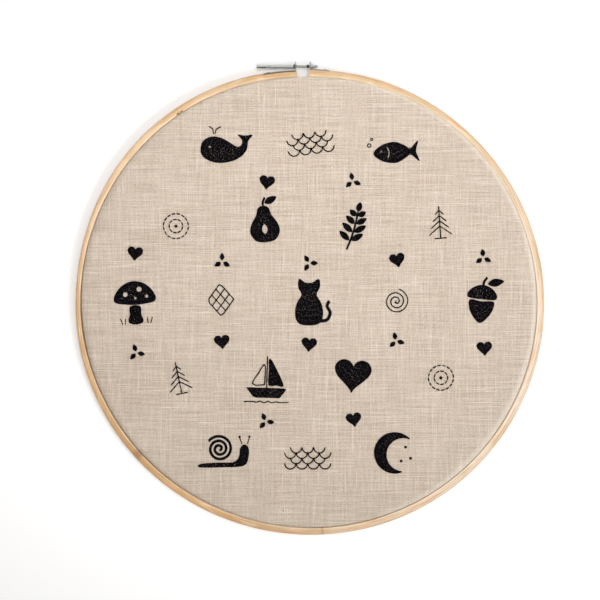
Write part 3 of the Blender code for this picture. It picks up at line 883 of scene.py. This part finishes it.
def smooth_loop(corners, steps=8):
    """A closed Catmull-Rom curve through the corners of a sketch."""
    p = np.array(corners, float)
    t = np.linspace(0, 1, steps, endpoint=False)[:, None, None]
    before, here, after, beyond = np.roll(p, 1, 0), p, np.roll(p, -1, 0), np.roll(p, -2, 0)
    curve = 0.5 * (2 * here + (after - before) * t + (2 * before - 5 * here + 4 * after - beyond) * t ** 2
                   + (3 * here - before - 3 * after + beyond) * t ** 3)
    return curve.transpose(1, 0, 2).reshape(-1, 2)


def smooth_line(corners, steps=8):
    """An open Catmull-Rom curve through the corners of a sketch."""
    p = np.array(corners, float)
    padded = np.concatenate((2 * p[:1] - p[1:2], p, 2 * p[-1:] - p[-2:-1]))
    pieces = []
    for i in range(len(p) - 1):
        before, here, after, beyond = padded[i:i + 4]
        t = np.linspace(0, 1, steps, endpoint=False)[:, None]
        pieces.append(0.5 * (2 * here + (after - before) * t + (2 * before - 5 * here + 4 * after - beyond) * t ** 2
                             + (3 * here - before - 3 * after + beyond) * t ** 3))
    return np.concatenate(pieces + [p[-1:]])


def circle(x, y, radius, steps=24, squash=1.0):
    turn = np.linspace(0, math.tau, steps, endpoint=False)
    return np.stack((x + radius * np.cos(turn), y + squash * radius * np.sin(turn)), axis=-1)


def lens(x0, y0, x1, y1, width):
    """A leaf shape between two points."""
    start, end = np.array((x0, y0)), np.array((x1, y1))
    share = np.linspace(0, 1, 11)[:, None]
    along = end - start
    across = np.array((-along[1], along[0])) / np.hypot(*along) * width / 2
    bulge = np.sin(math.pi * share ** 0.85)
    one = start + along * share + across * bulge
    other = (start + along * share - across * bulge)[::-1]
    return np.concatenate((one, other[1:-1]))


def spans(loops, level):
    """Where a level line lies inside closed loops, by the even-odd rule."""
    crossings = []
    for loop in loops:
        after = np.roll(loop, -1, axis=0)
        crosses = (loop[:, 1] <= level) != (after[:, 1] <= level)
        a, b = loop[crosses], after[crosses]
        crossings.extend(a[:, 0] + (level - a[:, 1]) / (b[:, 1] - a[:, 1]) * (b[:, 0] - a[:, 0]))
    crossings.sort()
    return list(zip(crossings[::2], crossings[1::2]))


class Motif:
    """Stitches of one motif, placed on the cloth: millimetres in its sketch, metres from the hoop's centre out."""

    def __init__(self, x, y, turn_deg, seed):
        self.origin = np.array((x, y)) * MM
        turn = math.radians(turn_deg)
        self.turn = np.array(((math.cos(turn), math.sin(turn)), (-math.sin(turn), math.cos(turn))))
        self.draw = random.Random(seed)
        self.stitches = []

    def place(self, points):
        return np.asarray(points, float) * MM @ self.turn + self.origin

    def stitch(self, start, end, radius, lift=0.0):
        self.stitches.append((*start, *end, radius * self.draw.uniform(0.93, 1.07), lift))

    def fill(self, loops, direction_deg, outline=True, holes=()):
        """Rows of satin stitches side by side, long rows split like bricks, and a split-stitch outline."""
        loops = [np.asarray(loop, float) for loop in loops]
        direction = math.radians(direction_deg)
        back = np.array(((math.cos(direction), -math.sin(direction)), (math.sin(direction), math.cos(direction))))
        tilted = [loop @ back for loop in loops + [np.asarray(hole, float) for hole in holes]]
        levels = np.concatenate(tilted)[:, 1]
        pitch, longest = FILL_PITCH / MM, LONGEST_FILL / MM
        row = 0
        for level in np.arange(levels.min() + pitch / 2, levels.max(), pitch):
            row += 1
            for low, high in spans(tilted, level):
                if high - low < 0.5:
                    continue
                cuts = [low - self.draw.uniform(-0.05, 0.12)]
                first = low + longest * (0.45 + 0.5 * (row % 2)) + self.draw.uniform(-0.9, 0.9)
                while first < high - 1.6:
                    cuts.append(first)
                    first += longest + self.draw.uniform(-1.0, 1.0)
                cuts.append(high + self.draw.uniform(-0.05, 0.12))
                for here, there in zip(cuts, cuts[1:]):
                    tilt = self.draw.uniform(-0.08, 0.08)
                    ends = np.array(((here, level - tilt), (there, level + tilt))) @ back.T
                    self.stitch(*self.place(ends), FLOSS_R, self.draw.uniform(0, 0.10) * MM)
        if outline:
            for loop in loops:
                self.line(np.concatenate((loop, loop[:1])), FLOSS_R * 1.05, 2.6, lift=0.12 * MM)
            for hole in holes:
                hole = np.asarray(hole, float)
                self.line(np.concatenate((hole, hole[:1])), FLOSS_R, 1.8, lift=0.12 * MM)

    def line(self, path, radius=LINE_R, stitch_mm=LINE_STITCH / MM, lift=0.0, gap_mm=0.0):
        """Back stitches along a path, end to end, or running stitches with bare cloth between."""
        path = np.asarray(path, float)
        steps = np.linalg.norm(np.diff(path, axis=0), axis=1)
        reach = np.concatenate(([0.0], np.cumsum(steps)))
        count = max(1, round(reach[-1] / (stitch_mm + gap_mm)))
        marks = np.linspace(0, reach[-1], count + 1)
        overlap = 0.12 if gap_mm == 0 else 0.0
        for here, there in zip(marks, marks[1:]):
            ends = []
            for mark in (here + gap_mm / 2 - overlap, there - gap_mm / 2 + overlap):
                mark = min(max(mark, 0), reach[-1])
                ends.append((np.interp(mark, reach, path[:, 0]), np.interp(mark, reach, path[:, 1])))
            shifted = self.place(ends) + np.array([self.draw.uniform(-0.05, 0.05) * MM for _ in range(4)]).reshape(2, 2)
            self.stitch(*shifted, radius, lift)

    def thick_line(self, path, width=2.0):
        """A broad line of short slanting stitches laid across the path."""
        path = np.asarray(path, float)
        steps = np.linalg.norm(np.diff(path, axis=0), axis=1)
        reach = np.concatenate(([0.0], np.cumsum(steps)))
        pitch = FILL_PITCH / MM * 0.95
        for mark in np.arange(0, reach[-1], pitch):
            here = np.array((np.interp(mark, reach, path[:, 0]), np.interp(mark, reach, path[:, 1])))
            ahead = min(mark + 0.4, reach[-1])
            there = np.array((np.interp(ahead, reach, path[:, 0]), np.interp(ahead, reach, path[:, 1])))
            if ahead - mark < 0.1:
                continue
            along = (there - here) / np.linalg.norm(there - here)
            across = np.array((-along[1], along[0]))
            half = width / 2 * self.draw.uniform(0.92, 1.08)
            ends = (here - across * half - along * 0.35, here + across * half + along * 0.35)
            self.stitch(*self.place(ends), FLOSS_R, self.draw.uniform(0, 0.06) * MM)

    def knot(self, x, y, radius=0.8):
        """A French knot, as a few short stitches wound over each other."""
        for i in range(7):
            turn = math.tau * i / 7 + self.draw.uniform(-0.2, 0.2)
            half = np.array((math.cos(turn), math.sin(turn))) * radius
            side = np.array((-half[1], half[0])) * 0.45
            self.stitch(*self.place(((x, y) - half + side, (x, y) + half + side)), FLOSS_R, 0.22 * MM)

    def finish(self, name, material):
        points, faces, uv = stitch_arrays(self.stitches)
        return make(name, points, faces, material, smooth_deg=180, uv=uv)


# Sketches of the motifs

def whale(m):
    body = smooth_loop(((-18, -1), (-17, 5), (-11, 9), (-3, 8.5), (5, 4.5), (10, 2), (13, 4.5), (13.2, 8),
                        (9.5, 11.8), (15, 11), (20.5, 12.3), (17, 7.5), (16.8, 2), (13, -4), (5, -8.5),
                        (-5, -10), (-13, -8), (-17, -4.8)))
    m.fill([body], 12, holes=[circle(-11.5, 1.5, 1.3)])
    m.line(smooth_line(((-9, 11.5), (-9.6, 15), (-13, 17.2))))
    m.line(smooth_line(((-8, 11.5), (-7.2, 15.2), (-3.8, 17.2))))


def fish(m):
    body = smooth_loop(((-17, 0), (-11, 5.6), (-1, 7.8), (7, 4.4), (11, 1.9), (17, 7.6), (14.8, 0), (17, -7.6),
                        (11, -1.9), (7, -4.4), (-1, -7.8), (-11, -5.6)))
    gill = smooth_loop(((-6.2, 4.6), (-4.6, 0), (-6.2, -4.6), (-7.2, -4.2), (-5.8, 0), (-7.2, 4.2)))
    m.fill([body], 90, holes=[circle(-11.2, 1.4, 1.2), gill])
    for x, y, radius in ((-20, 6.5, 1.5), (-17.8, 11, 1.1)):
        m.line(np.concatenate((circle(x, y, radius, 12), circle(x, y, radius, 12)[:1])), LINE_R * 0.8, 1.4)


def mushroom(m):
    cap = smooth_loop(((-15.5, 1.2), (-13.8, 8), (-7.5, 14), (0, 16), (7.5, 14), (13.8, 8), (15.5, 1.2),
                       (8, -0.8), (0, -1.4), (-8, -0.8)))
    spots = [circle(-7, 6.4, 2.2), circle(3.6, 10, 2.4), circle(9, 4.4, 1.7), circle(0.4, 3.4, 1.5)]
    stem = smooth_loop(((-3.8, -3), (-4, -9), (-5.6, -14.6), (0, -16.4), (5.6, -14.6), (4, -9), (3.8, -3)))
    m.fill([cap], 90, holes=spots)
    m.fill([stem], 0)
    for x, reach in ((-10, -1.8), (-8.3, 0.6), (9.2, -0.4), (11, 1.6)):
        m.line(((x, -16.2), (x + reach, -11.6)), LINE_R * 0.8)


def heart(m, size=1.0, direction_deg=35):
    t = np.linspace(0, math.tau, 60, endpoint=False)
    x = 16 * np.sin(t) ** 3
    y = 13 * np.cos(t) - 5 * np.cos(2 * t) - 2 * np.cos(3 * t) - np.cos(4 * t) + 2.5
    m.fill([np.stack((x, y), axis=-1) * 0.86 * size], direction_deg)


def acorn(m):
    nut = smooth_loop(((-9, -0.6), (-8.6, -7), (-5.2, -13), (0, -17.4), (5.2, -13), (8.6, -7), (9, -0.6), (0, -1.4)))
    cap = smooth_loop(((-10.8, 1.6), (-9.6, 6.6), (-5, 10), (0, 11.2), (5, 10), (9.6, 6.6), (10.8, 1.6), (0, 0.8)))
    m.fill([nut], 90)
    m.fill([cap], 0)
    m.thick_line(smooth_line(((0, 11.5), (0.6, 14.5), (2.6, 17.5))), 1.7)
    m.fill([lens(3.5, 12.5, 15.5, 16, 5.6)], 60)


def snail(m):
    foot = smooth_loop(((-18, -11), (-15, -8.8), (0, -8.6), (9, -8.4), (13, -4.5), (14, 2), (17, 4.8), (20, 2),
                        (19.6, -5), (16, -11), (0, -11.6)))
    m.fill([foot], 0)
    turn = np.linspace(0, 2.6 * math.tau, 90)
    reach = 1.0 + 9.0 * turn / turn[-1]
    m.thick_line(np.stack((-2 + reach * np.cos(turn - 1.3), 2.2 + reach * np.sin(turn - 1.3)), axis=-1), 1.9)
    for x in (15.4, 19.4):
        m.line(((x, 5), (x + (x - 17.4) * 0.8, 10)), LINE_R * 0.8)
        m.knot(x + (x - 17.4) * 0.85, 10.6, 0.7)


def moon(m):
    outer = arc((0, 0), 15.5, 55, 305, 30)
    tips = outer[-1], outer[0]
    inner = arc((6.5, 0), math.hypot(tips[0][0] - 6.5, tips[0][1]), 281, 79, 22)
    m.fill([np.concatenate((outer, inner[1:-1]))], 20)
    for x, y in ((7, 6), (12.5, -1.5), (6, -5)):
        m.knot(x, y, 0.9)


def fern(m):
    stem = smooth_line(((-3, -18), (-0.5, -8), (1, 2), (1.5, 11)))
    m.thick_line(stem, 1.3)
    for rise, length in ((-11.5, 10.5), (-5, 10.5), (1.5, 9), (7.5, 7)):
        root = np.array((np.interp(rise, stem[:, 1], stem[:, 0]), rise))
        for side in (-1, 1):
            tip = root + length * np.array((side * 0.87, 0.62))
            m.fill([lens(*(root + (side * 0.9, 0.5)), *tip, 4.4)], 90 + side * 38)
    m.fill([lens(1.6, 11.2, 2.4, 19, 4.2)], 75)


def pear(m):
    body = smooth_loop(((0, 12.4), (4, 10.6), (5.4, 5.4), (9.4, -0.6), (11, -7), (7.6, -13.4), (0, -15),
                        (-7.6, -13.4), (-11, -7), (-9.4, -0.6), (-5.4, 5.4), (-4, 10.6)))
    core = smooth_loop(((0, -1), (2.5, -5.4), (0, -9.4), (-2.5, -5.4)))
    m.fill([body], 20, holes=[core])
    m.thick_line(smooth_line(((0, 13), (0.4, 16), (2, 18.6))), 1.5)
    m.fill([lens(1.6, 14.4, 11, 18.6, 5)], 60)


def cat(m):
    body = smooth_loop(((-7.4, 18), (-3.4, 15), (0, 14.6), (3.4, 15), (7.4, 18), (8, 11.5), (5.2, 6.2), (8.8, 0),
                        (10.4, -8), (8, -15.4), (0, -17), (-8, -15.4), (-10.4, -8), (-8.8, 0), (-5.2, 6.2),
                        (-8, 11.5)))
    m.fill([body], 90)
    m.thick_line(smooth_line(((8, -14), (13.6, -13), (16, -7.6), (13.6, -2.6), (15.4, 1.4))), 2.4)


def sailboat(m):
    m.fill([np.array(((-15, -7), (15, -7), (10, -14), (-9.4, -14)), float)], 0)
    m.fill([smooth_loop(((1.6, -4.6), (1.6, 6), (1.6, 15.6), (7, 7.4), (12.6, -4.6), (7, -4.2)), 6)], 75)
    sail = smooth_line(((-1.6, -4.4), (-1.6, 11.6), (-6.4, 4.4), (-11, -4.4), (-1.6, -4.4)), 6)
    m.line(sail, LINE_R)
    m.line(((0, -6.6), (0, 17.4)), LINE_R)
    x = np.linspace(-17, 17, 40)
    m.line(np.stack((x, -17.4 + 0.9 * np.sin(x * 0.9)), axis=-1), LINE_R * 0.9)


def scallops(m, radius=4.4, rows=4):
    """Rows of arcs that stand on each other like roof tiles, wider in the middle."""
    for row in range(rows):
        count = 3 + row % 2
        y = (rows / 2 - row) * radius * 0.92
        for i in range(count):
            x = (i - (count - 1) / 2) * 2 * radius
            m.line(arc((x, y), radius, 180, 360, 12), LINE_R, 3.0)


def dashed_rings(m):
    for radius, gap in ((9.5, 1.2), (5.2, 1.0)):
        m.line(arc((0, 0), radius, 0, 360, 48), LINE_R, 2.6, gap_mm=gap)
    m.knot(0, 0, 1.0)


def little_tree(m):
    """A stem with pairs of branches, longer towards the foot."""
    m.line(((0, -12), (0, 12)), LINE_R)
    for height, reach in ((9, 3.2), (5, 5.0), (1, 6.8), (-3, 8.6)):
        for side in (-1, 1):
            m.line(((0, height), (side * reach, height - 0.62 * reach - 1.2)), LINE_R * 0.95, 4)
    m.line(((-4.5, -12.2), (4.5, -12.2)), LINE_R)


def lattice(m, half_width=10.0, half_height=12.5):
    corners = np.array(((half_width, 0), (0, half_height), (-half_width, 0), (0, -half_height), (half_width, 0)))
    m.line(corners, LINE_R)
    for share in (1 / 3, 2 / 3):
        for a, b, c, d in ((0, 1, 3, 2), (1, 2, 0, 3)):
            start = corners[a] + (corners[b] - corners[a]) * share
            end = corners[c] + (corners[d] - corners[c]) * share
            m.line((start, end), LINE_R * 0.9)


def spiral(m, radius=9.5, turns=3.1):
    turn = np.linspace(0.6, turns * math.tau, 110)
    reach = radius * turn / turn[-1]
    m.line(np.stack((reach * np.cos(turn), reach * np.sin(turn)), axis=-1), LINE_R, 2.8)


def small_heart(m):
    heart(m, 0.42, 90)


def three_seeds(m):
    for turn in (90, 210, 330):
        out = np.array((math.cos(math.radians(turn)), math.sin(math.radians(turn))))
        m.fill([lens(*(out * 1.2), *(out * 6.6), 3.4)], turn + 62)


# Where each motif goes: millimetres from the hoop's centre, and its turn
LAYOUT = (
    (whale, -64, 115, -3), (scallops, 1, 120, 8), (fish, 66, 113, 4),
    (dashed_rings, -101, 57, 0), (pear, -34, 60, 5), (fern, 34, 57, -8), (little_tree, 99, 60, 4),
    (mushroom, -132, -1, 3), (lattice, -67, 1, 3), (cat, 0, -1, 0), (spiral, 66, 0, 40), (acorn, 131, 1, -6),
    (little_tree, -99, -58, 12), (sailboat, -32, -59, -2), (heart, 33, -57, -5), (dashed_rings, 100, -58, 20),
    (snail, -66, -114, 2), (scallops, -1, -119, 0), (moon, 65, -115, -12),
)
FILLERS = (
    (small_heart, -32, 90, -8), (three_seeds, 33, 91, 10), (three_seeds, -66, 30, 0), (small_heart, 67, 31, 12),
    (three_seeds, 0, 29, 30), (small_heart, -66, -31, 6), (three_seeds, 66, -30, 14), (small_heart, 0, -33, -5),
    (three_seeds, -33, -91, 22), (small_heart, 34, -90, 9), (three_seeds, 132, 33, 5), (small_heart, -132, 36, -6),
    (small_heart, 133, -36, 3), (three_seeds, -131, -39, 18),
)


def embroidery(finish):
    pieces = []
    for group, rows in (("motif", LAYOUT), ("filler", FILLERS)):
        for number, (sketch, x, y, turn_deg) in enumerate(rows, 1):
            m = Motif(x, y, turn_deg, seed=100 * number + len(group))
            sketch(m)
            pieces.append(m.finish(f"{group}_{number:02d}_{sketch.__name__}", finish))
    return pieces


# Stage

SKY_LOW = 0.14
SKY_HIGH = 0.71
SKY_WINDOW = 0.45
FLOOR_GLOW = 0.16
FAR_GLOW = 0.34               # the floor's glow far from the hoop, where the lamps don't reach


def camera():
    data = bpy.data.cameras.new("camera")
    data.lens = LENS_MM
    data.sensor_width = SENSOR_MM
    data.clip_start, data.clip_end = 0.05, 20
    made = bpy.data.objects.new("camera", data)
    made.location = (*VIEW_CENTRE, FACE_Z + VIEW_WIDTH * LENS_MM / SENSOR_MM)
    bpy.context.scene.collection.objects.link(made)
    bpy.context.scene.camera = made


def floor():
    """A pale floor with a painted glow: its emission, weaker towards the upper left and stronger far from the hoop,
    makes it read paper white all round but for the hoop's soft shadow at the upper left.
    """
    size = 12.0
    mesh = bpy.data.meshes.new("floor")
    corners = [(-size, -size, 0), (size, -size, 0), (size, size, 0), (-size, size, 0)]
    mesh.from_pydata([(x, y, -0.2 * MM) for x, y, _ in corners], [], [(0, 1, 2, 3)])
    made, tree, shader = new_material("floor", 0.9, Specular_IOR_Level=0.1, Base_Color=(0.86, 0.86, 0.86, 1.0),
                                      Emission_Color=(1.0, 1.0, 1.0, 1.0))
    place = node(tree, "ShaderNodeTexCoord").outputs["Object"]
    side = node(tree, "ShaderNodeVectorMath", {0: place, 1: (0.42, -0.91, 0)}, operation='DOT_PRODUCT').outputs["Value"]
    # Painted light: the floor's glow, fading out towards the upper left
    near = between(tree, side, -0.25, 0.05, 0.0, FLOOR_GLOW)
    reach = node(tree, "ShaderNodeVectorMath", {0: place}, operation='LENGTH').outputs["Value"]
    far = between(tree, reach, 0.36, 0.90, 0.0, FAR_GLOW)
    tree.links.new(math_node(tree, 'ADD', near, far), shader.inputs["Emission Strength"])
    mesh.materials.append(made)
    plane = bpy.data.objects.new("floor", mesh)
    bpy.context.scene.collection.objects.link(plane)


def area_light(name, azimuth_deg, elevation_deg, distance, size, power, colour, aim=(0, 0), spread_deg=180):
    """A soft square light in a direction from the hoop: azimuth 0 is +X, 90 is +Y. It looks at aim.

    It lights what it falls on but doesn't show in bright metal, which mirrors the even sky alone.
    """
    data = bpy.data.lights.new(name, 'AREA')
    data.size = size
    data.energy = power
    data.color = colour
    data.spread = math.radians(spread_deg)
    azimuth, elevation = math.radians(azimuth_deg), math.radians(elevation_deg)
    made = bpy.data.objects.new(name, data)
    made.location = distance * Vector((math.cos(azimuth) * math.cos(elevation),
                                       math.sin(azimuth) * math.cos(elevation), math.sin(elevation)))
    made.visible_glossy = False
    made.rotation_mode = 'QUATERNION'
    made.rotation_quaternion = (made.location - Vector((*aim, 0))).to_track_quat('Z', 'Y')
    bpy.context.scene.collection.objects.link(made)


def world():
    """A pale sky, brightest overhead and beyond the screw, so that bright metal has light and dark sides."""
    made = bpy.data.worlds.new("studio")
    made.use_nodes = True
    tree = made.node_tree
    background = tree.nodes["Background"]
    direction = node(tree, "ShaderNodeTexCoord").outputs["Generated"]
    axes = node(tree, "ShaderNodeSeparateXYZ", {0: direction})
    overhead = between(tree, axes.outputs["Z"], 0.35, 0.95, SKY_LOW, SKY_HIGH)
    window = between(tree, axes.outputs["Y"], 0.30, 1.00, 0.0, SKY_WINDOW)
    background.inputs["Color"].default_value = (1.0, 0.985, 0.96, 1.0)
    tree.links.new(math_node(tree, 'ADD', overhead, window), background.inputs["Strength"])
    bpy.context.scene.world = made


# Everything

wood_outer = wood_material("wood_outer", (
    (0.02, (0.55, 0.38, 0.21)), (0.08, (0.69, 0.50, 0.31)), (0.14, (0.80, 0.61, 0.41)), (0.19, (0.77, 0.56, 0.37)),
    (0.25, (0.60, 0.38, 0.20)), (0.30, (0.65, 0.40, 0.20)), (0.35, (0.53, 0.33, 0.165)), (0.41, (0.66, 0.43, 0.20)),
    (0.46, (0.57, 0.39, 0.22)), (0.53, (0.76, 0.62, 0.45)), (0.60, (0.83, 0.71, 0.57)), (0.69, (0.81, 0.71, 0.60)),
    (0.75, (0.79, 0.66, 0.53)), (0.81, (0.69, 0.58, 0.45)), (0.87, (0.62, 0.50, 0.34)), (0.93, (0.63, 0.46, 0.29)),
    (1.00, (0.61, 0.45, 0.28))),
    patches=((400.0, 6.0, 0.45), (560.0, 1.2, 0.35)), dabs=DABS)
wood_inner = wood_material("wood_inner", ((0.0, (0.74, 0.54, 0.32)), (0.5, (0.70, 0.49, 0.28)),
                                          (1.0, (0.74, 0.54, 0.32))))
linen_finish = linen_material()
steel = steel_material("steel", (0.76, 0.78, 0.76), (0.89, 0.91, 0.89), EAR_SHADOW_BANDS, (SLOT_PAINTED_SHADE,))
dull_steel = steel_material("dull_steel", (0.36, 0.34, 0.32), (0.56, 0.545, 0.525), cores=(COLLAR_CORE,))
floss = thread_material()

outer_ring(wood_outer)
inner_ring(wood_inner)
cloth_piece = linen(linen_finish)
threaded_rod(steel)
barrel(steel)
bracket("foot_left", "bracket_left", FOOT_LEFT_X, EAR_LEFT_X, FOOT_SUNK, dull_steel)
bracket("foot_right", "bracket_right", FOOT_RIGHT_X, EAR_RIGHT_X, FOOT_RIGHT_SUNK, dull_steel, COLLAR_END_X)
tack("tack_head_left", "tack_left", TACK_LEFT_X, FOOT_SUNK, dull_steel)
tack("tack_head_right", "tack_right", TACK_RIGHT_X, FOOT_RIGHT_SUNK, dull_steel)
stitched = embroidery(floss)

camera()
floor()
area_light("key_lower_right", -40, 48, 1.4, 0.60, 1.60, (0.97, 0.98, 1.0), aim=(0.02, 0.20), spread_deg=60)
area_light("pool_upper_right", 62, 72, 1.2, 0.60, 0.75, (0.975, 0.98, 1.0), aim=(0.06, 0.22), spread_deg=50)
area_light("pool_left", 195, 72, 1.2, 0.60, 0.20, (1.0, 0.98, 0.95), aim=(-0.17, 0.03), spread_deg=40)
world()
bpy.context.scene.view_settings.view_transform = 'Standard'
